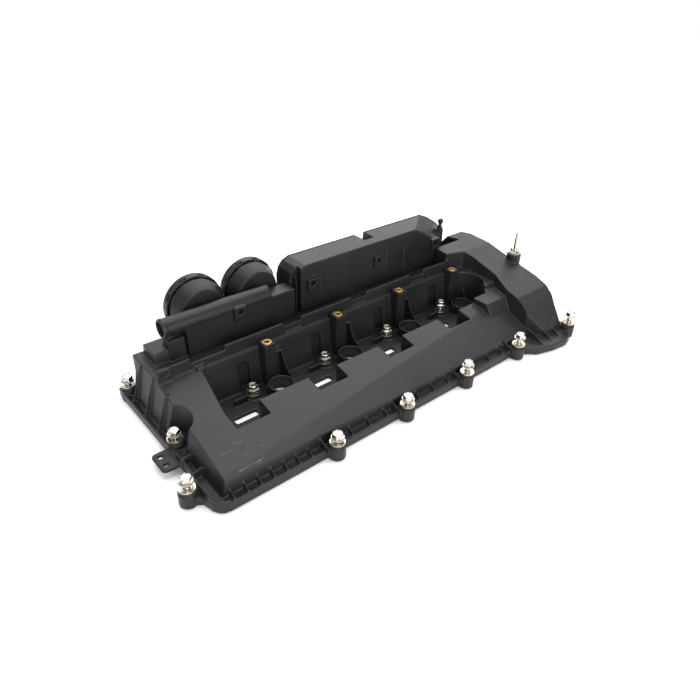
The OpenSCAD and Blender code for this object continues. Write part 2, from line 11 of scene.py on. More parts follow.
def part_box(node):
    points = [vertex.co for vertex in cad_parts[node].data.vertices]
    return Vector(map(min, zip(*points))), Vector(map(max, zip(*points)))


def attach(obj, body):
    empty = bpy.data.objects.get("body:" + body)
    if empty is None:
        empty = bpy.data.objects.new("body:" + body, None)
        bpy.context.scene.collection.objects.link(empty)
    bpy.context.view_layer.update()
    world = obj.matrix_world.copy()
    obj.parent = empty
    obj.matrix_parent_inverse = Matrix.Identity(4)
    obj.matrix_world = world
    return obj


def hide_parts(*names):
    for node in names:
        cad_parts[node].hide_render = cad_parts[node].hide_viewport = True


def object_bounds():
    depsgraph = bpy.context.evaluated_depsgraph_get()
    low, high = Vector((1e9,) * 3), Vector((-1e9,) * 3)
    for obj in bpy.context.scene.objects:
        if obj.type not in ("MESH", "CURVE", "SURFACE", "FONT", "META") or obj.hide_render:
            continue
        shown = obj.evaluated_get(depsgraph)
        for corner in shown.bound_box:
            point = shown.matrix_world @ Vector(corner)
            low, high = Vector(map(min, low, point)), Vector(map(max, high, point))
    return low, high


bl_info = {
    "name": "Cam Cover Finish",
    "version": (1, 0, 0),
    "blender": (4, 5, 0),
    "location": "View3D > Sidebar > Cam Cover",
    "description": "Moulded plastic, seals and fasteners of an engine cam cover",
    "category": "Object",
}

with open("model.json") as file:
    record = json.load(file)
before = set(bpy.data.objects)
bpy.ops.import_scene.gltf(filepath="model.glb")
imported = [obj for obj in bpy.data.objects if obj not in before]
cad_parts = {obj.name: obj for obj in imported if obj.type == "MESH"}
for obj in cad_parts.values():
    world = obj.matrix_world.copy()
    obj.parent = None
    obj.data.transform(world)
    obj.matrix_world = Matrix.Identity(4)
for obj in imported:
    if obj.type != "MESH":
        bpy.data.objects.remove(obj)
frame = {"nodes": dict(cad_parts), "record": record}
CAD_BOX = [[float(v) for v in corner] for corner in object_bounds()]

MM = 0.001
FULL_TURN = 2 * math.pi
COVER_BODY = "cover"
SHELL = "cover_shell"
FITTINGS = (
    "separator_housing",
    "separator_back_plate",
    "breather_duct",
    "pcv_housing_1",
    "pcv_housing_2",
    "pcv_cap_1",
    "pcv_cap_2",
    "ball_stud",
)
CAPS = ("pcv_cap_1", "pcv_cap_2")
DIAPHRAGMS = ("pcv_diaphragm_1", "pcv_diaphragm_2")
SPRINGS = ("pcv_spring_1", "pcv_spring_2")
SEALS = ("perimeter_gasket", "well_seals", "window_seals")
EDGE_BOLTS = (
    "bolt_front_1",
    "bolt_front_2",
    "bolt_front_3",
    "bolt_front_4",
    "bolt_corner",
    "bolt_left",
    "bolt_left_rear",
    "bolt_timing",
    "bolt_rear_1",
    "bolt_rear_2",
    "bolt_rear_3",
)
CENTRE_BOLTS = ("bolt_centre_1", "bolt_centre_2", "bolt_centre_3", "bolt_centre_4")
STUD = "stud_bolt"

# Height of each kind of bolt above the underside of its flange
EDGE_HEAD = 6.2 * MM
CENTRE_HEAD = 5.6 * MM
STUD_HEAD = 27.6 * MM

# Degrees that a bolt's hexagon is turned for each metre along X, so that the heads stand unalike
EDGE_TURN = 13000
CENTRE_TURN = 9000
HEXAGON_REPEAT = 60

# Length and place of a grip rib, as shares of the cap's depth
RIB_LENGTH = 0.62
RIB_PLACE = 0.55

# From the cover's lowest corner to the middle of its scuffs, and how far they spread
SCUFF_PLACE = (0.070, 0.0555, 0.028)
SCUFF_REACH = 0.030

# Name, place, target, size and power in watts of each soft light
AREA_LIGHTS = (
    ("back", (1.1, 1.2, 1.2), (0.0, 0.0, 0.0), (2.2, 1.6), 20.0),
    ("overhead", (0.2, 0.1, 2.0), (0.0, 0.0, 0.0), (1.6, 1.6), 12.0),
    ("front", (-0.5, -1.9, 0.8), (0.0, 0.0, 0.05), (2.2, 1.2), 44.0),
)
SUN_SIDE = (0.2, 0.35, 1.0)
SUN_POWER = 1.7
SUN_WIDTH = math.radians(70)


# ---------------------------------------------------------------- settings


class MouldingSettings(bpy.types.PropertyGroup):
    """How the plastic pieces are rounded and grained"""

    shell_voxel: bpy.props.FloatProperty(
        name="Shell voxel",
        description="Cell size that rounds the edges of the cover",
        default=0.85 * MM,
        unit="LENGTH",
        precision=5,
    )
    fitting_voxel: bpy.props.FloatProperty(
        name="Fitting voxel",
        description="Cell size that rounds the edges of the fittings",
        default=0.7 * MM,
        unit="LENGTH",
        precision=5,
    )
    smooth_passes: bpy.props.IntProperty(
        name="Smoothing passes",
        description="Passes that soften the moulded edges",
        default=5,
        min=0,
    )
    shell_triangles: bpy.props.IntProperty(
        name="Shell triangles",
        description="Triangles kept on the cover",
        default=180000,
    )
    fitting_triangles: bpy.props.IntProperty(
        name="Fitting triangles",
        description="Triangles kept on each fitting",
        default=50000,
    )


class CapSettings(bpy.types.PropertyGroup):
    """Grip ribs round the valve caps"""

    rib_count: bpy.props.IntProperty(
        name="Ribs", description="Ribs round one cap", default=72, min=12
    )
    rib_width: bpy.props.FloatProperty(
        name="Rib width",
        description="Width of one rib",
        default=1.1 * MM,
        unit="LENGTH",
        precision=5,
    )
    rib_height: bpy.props.FloatProperty(
        name="Rib height",
        description="How far a rib stands out of the rim",
        default=0.4 * MM,
        unit="LENGTH",
        precision=5,
    )


class FastenerSettings(bpy.types.PropertyGroup):
    """Sizes of the bolts, sleeves and inserts"""

    across_flats: bpy.props.FloatProperty(
        name="Across flats",
        description="Width of a bolt's hexagon",
        default=10.3 * MM,
        unit="LENGTH",
        precision=5,
    )
    flange_radius: bpy.props.FloatProperty(
        name="Flange radius",
        description="Radius of the flange under a bolt head",
        default=7.2 * MM,
        unit="LENGTH",
        precision=5,
    )
    shank_radius: bpy.props.FloatProperty(
        name="Shank radius",
        description="Outside radius of a bolt's thread",
        default=3.0 * MM,
        unit="LENGTH",
        precision=5,
    )
    thread_pitch: bpy.props.FloatProperty(
        name="Thread pitch",
        description="Distance between two turns of the thread",
        default=1.0 * MM,
        unit="LENGTH",
        precision=5,
    )
    segments: bpy.props.IntProperty(
        name="Segments",
        description="Steps round a turned piece",
        default=48,
        min=24,
    )


class StageSettings(bpy.types.PropertyGroup):
    """Camera, floor and studio light"""

    camera_place: bpy.props.FloatVectorProperty(
        name="Camera place",
        description="Where the camera stands",
        default=(-0.451, -0.458, 0.4266),
        subtype="TRANSLATION",
    )
    view_direction: bpy.props.FloatVectorProperty(
        name="View direction",
        description="Where the camera looks",
        default=(0.54674, 0.62606, -0.55600),
        subtype="DIRECTION",
    )
    up_direction: bpy.props.FloatVectorProperty(
        name="Up direction",
        description="Which way is up in the view",
        default=(0.33788, 0.44261, 0.83064),
        subtype="DIRECTION",
    )
    lens: bpy.props.FloatProperty(
        name="Lens",
        description="Focal length on a 36 mm sensor",
        default=31.584,
        unit="CAMERA",
    )
    floor_size: bpy.props.FloatProperty(
        name="Floor size",
        description="Side of the floor",
        default=60.0,
        unit="LENGTH",
    )
    world_strength: bpy.props.FloatProperty(
        name="Surround",
        description="Brightness of the white surround",
        default=0.6,
    )


# --------------------------------------------------------------- materials


def new_material(name):
    """A material with a shader, its output and object coordinates."""
    material = bpy.data.materials.new(name)
    material.use_nodes = True
    tree = material.node_tree
    tree.nodes.clear()
    output = tree.nodes.new("ShaderNodeOutputMaterial")
    shader = tree.nodes.new("ShaderNodeBsdfPrincipled")
    tree.links.new(shader.outputs["BSDF"], output.inputs["Surface"])
    place = tree.nodes.new("ShaderNodeTexCoord")
    return material, tree, shader, place.outputs["Object"]


def add_noise(tree, place, scale, detail=2.0):
    """Noise in object space, as a factor."""
    noise = tree.nodes.new("ShaderNodeTexNoise")
    noise.inputs["Scale"].default_value = scale
    noise.inputs["Detail"].default_value = detail
    tree.links.new(place, noise.inputs["Vector"])
    return noise.outputs["Fac"]


def add_range(tree, value, low, high, start=0.0, end=1.0):
    """Maps a factor from start..end to low..high."""
    mapped = tree.nodes.new("ShaderNodeMapRange")
    mapped.inputs["From Min"].default_value = start
    mapped.inputs["From Max"].default_value = end
    mapped.inputs["To Min"].default_value = low
    mapped.inputs["To Max"].default_value = high
    tree.links.new(value, mapped.inputs["Value"])
    return mapped.outputs["Result"]


def add_math(tree, kind, a, b):
    """One arithmetic step on two factors, or a factor and a number."""
    node = tree.nodes.new("ShaderNodeMath")
    node.operation = kind
    tree.links.new(a, node.inputs[0])
    if isinstance(b, (int, float)):
        node.inputs[1].default_value = b
    else:
        tree.links.new(b, node.inputs[1])
    return node.outputs[0]


def add_mix(tree, factor, dark, light):
    """Mixes two colours by a factor; each may be a tuple or a socket."""
    mix = tree.nodes.new("ShaderNodeMix")
    mix.data_type = "RGBA"
    tree.links.new(factor, mix.inputs["Factor"])
    for key, colour in (("A", dark), ("B", light)):
        socket = [s for s in mix.inputs if s.name == key and s.type == "RGBA"][0]
        if isinstance(colour, tuple):
            socket.default_value = (*colour, 1.0)
        else:
            tree.links.new(colour, socket)
    return [s for s in mix.outputs if s.type == "RGBA"][0]


def add_bump(tree, shader, height, distance, strength=1.0):
    """Turns a height factor into a bump of a real depth."""
    bump = tree.nodes.new("ShaderNodeBump")
    bump.inputs["Distance"].default_value = distance
    bump.inputs["Strength"].default_value = strength
    tree.links.new(height, bump.inputs["Height"])
    tree.links.new(bump.outputs["Normal"], shader.inputs["Normal"])


def moulded_plastic(name, dark, light, rough, scuffed):
    """Glass-filled black plastic: eroded grain, cloudy gloss and, on the cover, pale scuffs."""
    material, tree, shader, place = new_material(name)
    clouds = add_noise(tree, place, 9.0, 4.0)
    grain = add_noise(tree, place, 1500.0, 2.0)
    colour = add_mix(tree, add_range(tree, clouds, 0.0, 1.0, 0.35, 0.65), dark, light)
    if scuffed:
        colour = add_mix(tree, scuff_mask(tree, place), colour, (0.30, 0.30, 0.30))
    tree.links.new(colour, shader.inputs["Base Color"])
    gloss = add_range(tree, clouds, rough - 0.05, rough + 0.06, 0.3, 0.7)
    tree.links.new(gloss, shader.inputs["Roughness"])
    shader.inputs["Specular IOR Level"].default_value = 0.28
    add_bump(tree, shader, grain, 0.05 * MM, 0.6)
    return material


def scuff_mask(tree, place):
    """Thin pale strokes gathered where the cover's front left corner was handled."""
    centre = Vector(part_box(SHELL)[0]) + Vector(SCUFF_PLACE)
    offset = tree.nodes.new("ShaderNodeVectorMath")
    offset.operation = "SUBTRACT"
    offset.inputs[1].default_value = centre
    tree.links.new(place, offset.inputs[0])
    length = tree.nodes.new("ShaderNodeVectorMath")
    length.operation = "LENGTH"
    tree.links.new(offset.outputs["Vector"], length.inputs[0])
    near = add_range(tree, length.outputs["Value"], 1.0, 0.0, 0.0, SCUFF_REACH)
    stretch = tree.nodes.new("ShaderNodeMapping")
    stretch.inputs["Rotation"].default_value = (0.0, 0.0, math.radians(-25))
    stretch.inputs["Scale"].default_value = (60.0, 700.0, 200.0)
    tree.links.new(place, stretch.inputs["Vector"])
    strokes = add_noise(tree, stretch.outputs["Vector"], 1.0, 3.0)
    thin = add_range(tree, strokes, 0.0, 0.9, 0.63, 0.74)
    return add_math(tree, "MULTIPLY", near, thin)


def plated_steel(name, tint, rough):
    """Bright plating with faint handling marks."""
    material, tree, shader, place = new_material(name)
    shader.inputs["Metallic"].default_value = 1.0
    marks = add_noise(tree, place, 420.0, 4.0)
    darker = tuple(0.82 * v for v in tint)
    tree.links.new(add_mix(tree, marks, darker, tint), shader.inputs["Base Color"])
    tree.links.new(add_range(tree, marks, rough * 0.6, rough * 1.5), shader.inputs["Roughness"])
    add_bump(tree, shader, marks, 0.02 * MM, 0.3)
    return material


def turned_brass(name):
    """Brass with a fine, uneven polish."""
    material, tree, shader, place = new_material(name)
    shader.inputs["Metallic"].default_value = 1.0
    polish = add_noise(tree, place, 900.0, 3.0)
    colour = add_mix(tree, polish, (0.62, 0.36, 0.12), (0.86, 0.58, 0.24))
    tree.links.new(colour, shader.inputs["Base Color"])
    tree.links.new(add_range(tree, polish, 0.22, 0.42), shader.inputs["Roughness"])
    add_bump(tree, shader, polish, 0.03 * MM, 0.4)
    return material


def black_rubber(name):
    """Moulded rubber with a dull bloom."""
    material, tree, shader, place = new_material(name)
    bloom = add_noise(tree, place, 60.0, 4.0)
    grain = add_noise(tree, place, 1800.0, 1.0)
    colour = add_mix(tree, bloom, (0.008, 0.008, 0.009), (0.022, 0.022, 0.023))
    tree.links.new(colour, shader.inputs["Base Color"])
    tree.links.new(add_range(tree, bloom, 0.62, 0.82), shader.inputs["Roughness"])
    add_bump(tree, shader, grain, 0.04 * MM, 0.5)
    return material


def studio_white(name):
    """The plain pale floor, with the faintest unevenness."""
    material, tree, shader, place = new_material(name)
    shade = add_noise(tree, place, 2.0, 1.0)
    colour = add_mix(tree, shade, (0.90, 0.90, 0.90), (0.93, 0.93, 0.93))
    tree.links.new(colour, shader.inputs["Base Color"])
    shader.inputs["Roughness"].default_value = 0.9
    shader.inputs["Specular IOR Level"].default_value = 0.1
    return material


def finish_of(slot):
    """The one material made for each of the record's slots."""
    makers = {
        "shell_plastic": lambda n: moulded_plastic(
            n, (0.0105, 0.0105, 0.0115), (0.016, 0.016, 0.017), 0.43, True
        ),
        "fitting_plastic": lambda n: moulded_plastic(
            n, (0.0085, 0.0085, 0.0095), (0.013, 0.013, 0.014), 0.41, False
        ),
        "black_rubber": black_rubber,
        "bolt_steel": lambda n: plated_steel(n, (0.62, 0.59, 0.54), 0.17),
        "sleeve_steel": lambda n: plated_steel(n, (0.62, 0.56, 0.46), 0.24),
        "spring_steel": lambda n: plated_steel(n, (0.60, 0.60, 0.61), 0.30),
        "insert_brass": turned_brass,
    }
    name = slot + "_finish"
    return bpy.data.materials.get(name) or makers[slot](name)


# ------------------------------------------------------------ mesh helpers


def node_slot(node):
    """The record's material slot of a CAD node."""
    for part in frame["record"]["subparts"]:
        if part["node"] == node:
            return part["material_slot"]
    raise RuntimeError("no material slot for " + node)


def adopt(mesh, name, node_names, body=COVER_BODY):
    """Shows a mesh as a piece that stands for these CAD nodes and rides on their body."""
    slot = node_slot(node_names[0])
    piece = bpy.data.objects.new(name, mesh)
    bpy.context.scene.collection.objects.link(piece)
    mesh.materials.clear()
    mesh.materials.append(finish_of(slot))
    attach(piece, body)
    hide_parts(*node_names)


def evaluated_mesh(piece):
    """The piece's mesh with its modifiers applied, as new data."""
    graph = bpy.context.evaluated_depsgraph_get()
    graph.update()
    return bpy.data.meshes.new_from_object(piece.evaluated_get(graph))


def drop(piece):
    """Removes a helper object and its mesh."""
    mesh = piece.data
    bpy.data.objects.remove(piece)
    bpy.data.meshes.remove(mesh)


def merged_copy(node):
    """A helper object with a CAD node's mesh, its doubled points joined."""
    mesh = frame["nodes"][node].data.copy()
    work = bmesh.new()
    work.from_mesh(mesh)
    bmesh.ops.remove_doubles(work, verts=work.verts, dist=0.002 * MM)
    work.to_mesh(mesh)
    work.free()
    helper = bpy.data.objects.new(node + "_work", mesh)
    bpy.context.scene.collection.objects.link(helper)
    return helper


def rounded_mesh(node, voxel, passes, triangles):
    """A CAD node's shape with the small radii of a moulding on every edge."""
    helper = merged_copy(node)
    remesh = helper.modifiers.new("cells", "REMESH")
    remesh.mode = "VOXEL"
    remesh.voxel_size = voxel
    smooth = helper.modifiers.new("soften", "SMOOTH")
    smooth.factor = 0.5
    smooth.iterations = passes
    dense = evaluated_mesh(helper)
    count = sum(len(p.vertices) - 2 for p in dense.polygons)
    helper.modifiers.clear()
    old = helper.data
    helper.data = dense
    bpy.data.meshes.remove(old)
    if count > triangles:
        thin = helper.modifiers.new("thin", "DECIMATE")
        thin.ratio = triangles / count
    mesh = evaluated_mesh(helper)
    drop(helper)
    mesh.shade_smooth()
    mesh.name = node + "_moulded"
    return mesh


def around(radius, angle, height):
    """A point at this radius, angle and height about the Z axis."""
    return Vector((radius * math.cos(angle), radius * math.sin(angle), height))


def turned_mesh(work, profile, centre, segments, width_at=None):
    """Adds a closed shape turned about Z.

    The profile is (radius, height), from the lowest point on the axis to the highest.
    """
    rings = []
    for radius, height in profile:
        if radius <= 0:
            rings.append([work.verts.new(centre + Vector((0, 0, height)))])
            continue
        ring = []
        for k in range(segments):
            angle = FULL_TURN * k / segments
            r = radius if width_at is None else min(radius, width_at(angle, height))
            ring.append(work.verts.new(centre + around(r, angle, height)))
        rings.append(ring)
    for low, high in zip(rings, rings[1:]):
        bridge(work, low, high)


def bridge(work, low, high):
    """Joins two rings, or a ring and a point, with faces that look outwards."""
    count = max(len(low), len(high))
    for k in range(count):
        n = (k + 1) % count
        if len(low) == 1:
            work.faces.new((low[0], high[n], high[k]))
        elif len(high) == 1:
            work.faces.new((low[k], low[n], high[0]))
        else:
            work.faces.new((low[k], low[n], high[n], high[k]))


def turned_tube(work, profile, centre, segments):
    """Adds a ring-shaped solid turned about Z from a closed (radius, height) outline."""
    rings = []
    for radius, height in profile:
        ring = []
        for k in range(segments):
            angle = FULL_TURN * k / segments
            ring.append(work.verts.new(centre + around(radius, angle, height)))
        rings.append(ring)
    for k, low in enumerate(rings):
        bridge(work, low, rings[(k + 1) % len(rings)])


def finished(work, name, smooth_angle=35):
    """A mesh from bmesh work, smooth but for its sharp edges."""
    bmesh.ops.recalc_face_normals(work, faces=work.faces)
    mesh = bpy.data.meshes.new(name)
    work.to_mesh(mesh)
    work.free()
    mesh.shade_smooth()
    mesh.set_sharp_from_angle(angle=math.radians(smooth_angle))
    return mesh


def hexagon_width(across, phase):
    """Radius of a hexagon's side at an angle, for clipping a turned shape."""

    def at(angle, _height):
        turn = (angle - phase) % (math.pi / 3) - math.pi / 6
        return across / 2 / math.cos(turn)

    return at


def upright_axis(node):
    """(centre of the node's foot, its height) for a piece that stands along Z."""
    low, high = (Vector(c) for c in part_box(node))
    return Vector(((low.x + high.x) / 2, (low.y + high.y) / 2, low.z)), high.z - low.z


# --------------------------------------------------------- geometry nodes


def group_with(name, inputs):
    """A geometry node group with named inputs, (name, socket type, default), and its in and out nodes."""
    tree = bpy.data.node_groups.new(name, "GeometryNodeTree")
    tree.interface.new_socket("Geometry", in_out="INPUT", socket_type="NodeSocketGeometry")
    for label, kind, default in inputs:
        socket = tree.interface.new_socket(label, in_out="INPUT", socket_type=kind)
        if default is not None:
            socket.default_value = default
    tree.interface.new_socket("Geometry", in_out="OUTPUT", socket_type="NodeSocketGeometry")
    return tree, tree.nodes.new("NodeGroupInput"), tree.nodes.new("NodeGroupOutput")


def finish_group(tree, source, given, leave):
    """Ends a group in Realize Instances and Set Material."""
    real = tree.nodes.new("GeometryNodeRealizeInstances")
    paint = tree.nodes.new("GeometryNodeSetMaterial")
    tree.links.new(source, real.inputs["Geometry"])
    tree.links.new(real.outputs["Geometry"], paint.inputs["Geometry"])
    tree.links.new(given.outputs["Material"], paint.inputs["Material"])
    tree.links.new(paint.outputs["Geometry"], leave.inputs["Geometry"])


def grip_rib_group():
    """Ribs set round a circle in the XY plane, each turned to face outwards."""
    tree, given, leave = group_with(
        "grip_ribs",
        [
            ("Count", "NodeSocketInt", 72),
            ("Radius", "NodeSocketFloat", 34 * MM),
            ("Rib Size", "NodeSocketVector", (1 * MM, 1 * MM, 6 * MM)),
            ("Material", "NodeSocketMaterial", None),
        ],
    )
    circle = tree.nodes.new("GeometryNodeMeshCircle")
    rib = tree.nodes.new("GeometryNodeMeshCube")
    place = tree.nodes.new("GeometryNodeInputPosition")
    face_out = tree.nodes.new("FunctionNodeAlignRotationToVector")
    face_out.axis = "X"
    spread = tree.nodes.new("GeometryNodeInstanceOnPoints")
    tree.links.new(given.outputs["Count"], circle.inputs["Vertices"])
    tree.links.new(given.outputs["Radius"], circle.inputs["Radius"])
    tree.links.new(given.outputs["Rib Size"], rib.inputs["Size"])
    tree.links.new(place.outputs["Position"], face_out.inputs["Vector"])
    tree.links.new(circle.outputs["Mesh"], spread.inputs["Points"])
    tree.links.new(rib.outputs["Mesh"], spread.inputs["Instance"])
    tree.links.new(face_out.outputs["Rotation"], spread.inputs["Rotation"])
    finish_group(tree, spread.outputs["Instances"], given, leave)
    return tree


def thread_group():
    """A helical ridge round the Z axis, from the origin upwards."""
    tree, given, leave = group_with(
        "bolt_thread",
        [
            ("Turns", "NodeSocketFloat", 10.0),
            ("Radius", "NodeSocketFloat", 2.7 * MM),
            ("Height", "NodeSocketFloat", 10 * MM),
            ("Ridge", "NodeSocketFloat", 0.4 * MM),
            ("Material", "NodeSocketMaterial", None),
        ],
    )
    helix = tree.nodes.new("GeometryNodeCurveSpiral")
    helix.inputs["Resolution"].default_value = 20
    ridge = tree.nodes.new("GeometryNodeCurvePrimitiveCircle")
    ridge.inputs["Resolution"].default_value = 4
    sweep = tree.nodes.new("GeometryNodeCurveToMesh")
    sweep.inputs["Fill Caps"].default_value = True
    tree.links.new(given.outputs["Turns"], helix.inputs["Rotations"])
    tree.links.new(given.outputs["Radius"], helix.inputs["Start Radius"])
    tree.links.new(given.outputs["Radius"], helix.inputs["End Radius"])
    tree.links.new(given.outputs["Height"], helix.inputs["Height"])
    tree.links.new(given.outputs["Ridge"], ridge.inputs["Radius"])
    tree.links.new(helix.outputs["Curve"], sweep.inputs["Curve"])
    tree.links.new(ridge.outputs["Curve"], sweep.inputs["Profile Curve"])
    finish_group(tree, sweep.outputs["Mesh"], given, leave)
    return tree


def grown_mesh(tree, values):
    """The plain mesh that a node group makes with these input values."""
    seed = bpy.data.meshes.new("seed")
    helper = bpy.data.objects.new("grow_work", seed)
    bpy.context.scene.collection.objects.link(helper)
    grow = helper.modifiers.new("grow", "NODES")
    grow.node_group = tree
    for item in tree.interface.items_tree:
        if item.in_out == "INPUT" and item.name in values:
            grow[item.identifier] = values[item.name]
    mesh = evaluated_mesh(helper)
    helper.modifiers.clear()
    drop(helper)
    if not mesh.polygons:
        raise RuntimeError(tree.name + " made no faces")
    return mesh


# --------------------------------------------------------------- operators


class CAMCOVER_OT_shell(bpy.types.Operator):
    """Rounds and grains the main moulding"""

    bl_idname = "camcover.shell"
    bl_label = "Cover shell"

    def execute(self, context):
        s = context.scene.cover_moulding
        mesh = rounded_mesh(SHELL, s.shell_voxel, s.smooth_passes, s.shell_triangles)
        adopt(mesh, "shell_moulding", [SHELL])
        return {"FINISHED"}


class CAMCOVER_OT_fittings(bpy.types.Operator):
    """Rounds the separator, breather pipe, valve bodies and caps"""

    bl_idname = "camcover.fittings"
    bl_label = "Fittings"

    def execute(self, context):
        s = context.scene.cover_moulding
        for node in FITTINGS:
            mesh = rounded_mesh(node, s.fitting_voxel, s.smooth_passes, s.fitting_triangles)
            adopt(mesh, node + "_moulding", [node])
        return {"FINISHED"}


class CAMCOVER_OT_cap_ribs(bpy.types.Operator):
    """Adds the grip ribs round each valve cap"""

    bl_idname = "camcover.cap_ribs"
    bl_label = "Cap ribs"

    def execute(self, context):
        s = context.scene.cover_caps
        tree = grip_rib_group()
        for node in CAPS:
            low, high = (Vector(c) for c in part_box(node))
            radius = (high.x - low.x) / 2
            length = RIB_LENGTH * (high.y - low.y)
            mesh = grown_mesh(
                tree,
                {
                    "Count": s.rib_count,
                    "Radius": radius - 0.5 * MM,
                    "Rib Size": (2 * s.rib_height, s.rib_width, length),
                    "Material": finish_of(node_slot(node)),
                },
            )
            middle = low.y + RIB_PLACE * (high.y - low.y)
            centre = Vector(((low.x + high.x) / 2, middle, (low.z + high.z) / 2))
            mesh.transform(Matrix.Translation(centre) @ Matrix.Rotation(math.pi / 2, 4, "X"))
            piece = bpy.data.objects.new(node + "_ribs", mesh)
            context.scene.collection.objects.link(piece)
            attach(piece, COVER_BODY)
        return {"FINISHED"}


def add_thread(work, tree, foot, height, settings):
    """Joins a helical thread to the bolt being built."""
    ridge = 0.32 * MM
    mesh = grown_mesh(
        tree,
        {
            "Turns": height / settings.thread_pitch,
            "Radius": settings.shank_radius - ridge,
            "Height": height,
            "Ridge": ridge,
            "Material": finish_of("bolt_steel"),
        },
    )
    mesh.transform(Matrix.Translation(foot))
    work.from_mesh(mesh)
    bpy.data.meshes.remove(mesh)


def edge_bolt_mesh(node, tree, settings):
    """Flanged hexagon bolt with a threaded shank, standing where the CAD bolt does."""
    foot, height = upright_axis(node)
    head = height - EDGE_HEAD
    core = settings.shank_radius - 0.4 * MM
    flange = settings.flange_radius
    across = settings.across_flats
    work = bmesh.new()
    phase = foot.x * EDGE_TURN % HEXAGON_REPEAT
    turned_mesh(
        work,
        [
            (0, 0),
            (core - 0.8 * MM, 0),
            (core, 0.9 * MM),
            (core, head - 2.5 * MM),
            (settings.shank_radius, head - 2.0 * MM),
            (settings.shank_radius, head),
            (flange - 0.3 * MM, head),
            (flange, head + 0.3 * MM),
            (flange, head + 0.9 * MM),
            (flange - 0.7 * MM, head + 1.5 * MM),
            (0, head + 1.6 * MM),
        ],
        foot,
        settings.segments,
    )
    turned_mesh(
        work,
        [
            (0, head + 1.0 * MM),
            (1.2 * across, head + 1.0 * MM),
            (1.2 * across, head + 5.0 * MM),
            (0.54 * across, head + 5.4 * MM),
            (0.46 * across, head + 6.1 * MM),
            (0.40 * across, head + 6.2 * MM),
            (0.34 * across, head + 5.7 * MM),
            (0, head + 5.6 * MM),
        ],
        foot,
        settings.segments,
        hexagon_width(across, math.radians(phase)),
    )
    add_thread(work, tree, foot + Vector((0, 0, 1.2 * MM)), head - 4 * MM, settings)
    return finished(work, node + "_bolt")


def centre_bolt_mesh(node, tree, settings):
    """Short hexagon bolt with a deeply dished head."""
    foot, height = upright_axis(node)
    head = height - CENTRE_HEAD
    core = settings.shank_radius - 0.4 * MM
    flange = settings.flange_radius - 0.2 * MM
    across = settings.across_flats - 0.5 * MM
    work = bmesh.new()
    turned_mesh(
        work,
        [
            (0, 0),
            (core - 0.8 * MM, 0),
            (core, 0.9 * MM),
            (core, head - 1.0 * MM),
            (settings.shank_radius, head - 0.6 * MM),
            (settings.shank_radius, head),
            (flange - 0.3 * MM, head),
            (flange, head + 0.4 * MM),
            (flange, head + 0.9 * MM),
            (flange - 0.9 * MM, head + 1.6 * MM),
            (0, head + 1.8 * MM),
        ],
        foot,
        settings.segments,
    )
    turned_mesh(
        work,
        [
            (0, head + 1.0 * MM),
            (1.2 * across, head + 1.0 * MM),
            (1.2 * across, head + 4.7 * MM),
            (0.54 * across, head + 5.0 * MM),
            (0.48 * across, head + 5.5 * MM),
            (0.44 * across, head + 5.6 * MM),
            (0.36 * across, head + 4.8 * MM),
            (0.26 * across, head + 3.9 * MM),
            (0, head + 3.6 * MM),
        ],
        foot,
        settings.segments,
        hexagon_width(across, math.radians(foot.x * CENTRE_TURN % HEXAGON_REPEAT)),
    )
    add_thread(work, tree, foot + Vector((0, 0, 1.2 * MM)), head - 3 * MM, settings)
    return finished(work, node + "_bolt")


def stud_bolt_mesh(node, tree, settings):
    """Bolt with a slim plain end above its hexagon."""
    foot, height = upright_axis(node)
    head = height - STUD_HEAD
    core = settings.shank_radius - 0.4 * MM
    flange = settings.flange_radius
    across = settings.across_flats
    work = bmesh.new()
    turned_mesh(
        work,
        [
            (0, 0),
            (core - 0.8 * MM, 0),
            (core, 0.9 * MM),
            (core, head - 6 * MM),
            (settings.shank_radius, head - 5 * MM),
            (settings.shank_radius, head),
            (flange - 0.3 * MM, head),
            (flange, head + 0.3 * MM),
            (flange, head + 0.9 * MM),
            (flange - 0.7 * MM, head + 1.5 * MM),
            (2.4 * MM, head + 1.6 * MM),
            (2.4 * MM, head + 25.4 * MM),
            (2.1 * MM, head + 26.2 * MM),
            (1.4 * MM, height - 0.3 * MM),
            (1.1 * MM, height),
            (0, height),
        ],
        foot,
        settings.segments,
    )
    turned_mesh(
        work,
        [
            (0, head + 1.0 * MM),
            (1.2 * across, head + 1.0 * MM),
            (1.2 * across, head + 5.0 * MM),
            (0.50 * across, head + 5.6 * MM),
            (0, head + 5.6 * MM),
        ],
        foot,
        settings.segments,
        hexagon_width(across, 0.0),
    )
    add_thread(work, tree, foot + Vector((0, 0, 1.2 * MM)), head - 10 * MM, settings)
    return finished(work, node + "_bolt")


class CAMCOVER_OT_bolts(bpy.types.Operator):
    """Builds every captive bolt with its head, flange and thread"""

    bl_idname = "camcover.bolts"
    bl_label = "Bolts"

    def execute(self, context):
        s = context.scene.cover_fasteners
        tree = thread_group()
        for node in EDGE_BOLTS:
            adopt(edge_bolt_mesh(node, tree, s), node + "_finished", [node], node)
        for node in CENTRE_BOLTS:
            adopt(centre_bolt_mesh(node, tree, s), node + "_finished", [node], node)
        adopt(stud_bolt_mesh(STUD, tree, s), STUD + "_finished", [STUD], STUD)
        return {"FINISHED"}


def tube_set(node, bolts, outline, segments):
    """One mesh of ring-shaped solids, one round each bolt, heights counted from the node's top."""
    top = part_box(node)[1][2]
    work = bmesh.new()
    for bolt in bolts:
        foot, _height = upright_axis(bolt)
        turned_tube(work, outline, Vector((foot.x, foot.y, top)), segments)
    return finished(work, node + "_turned")


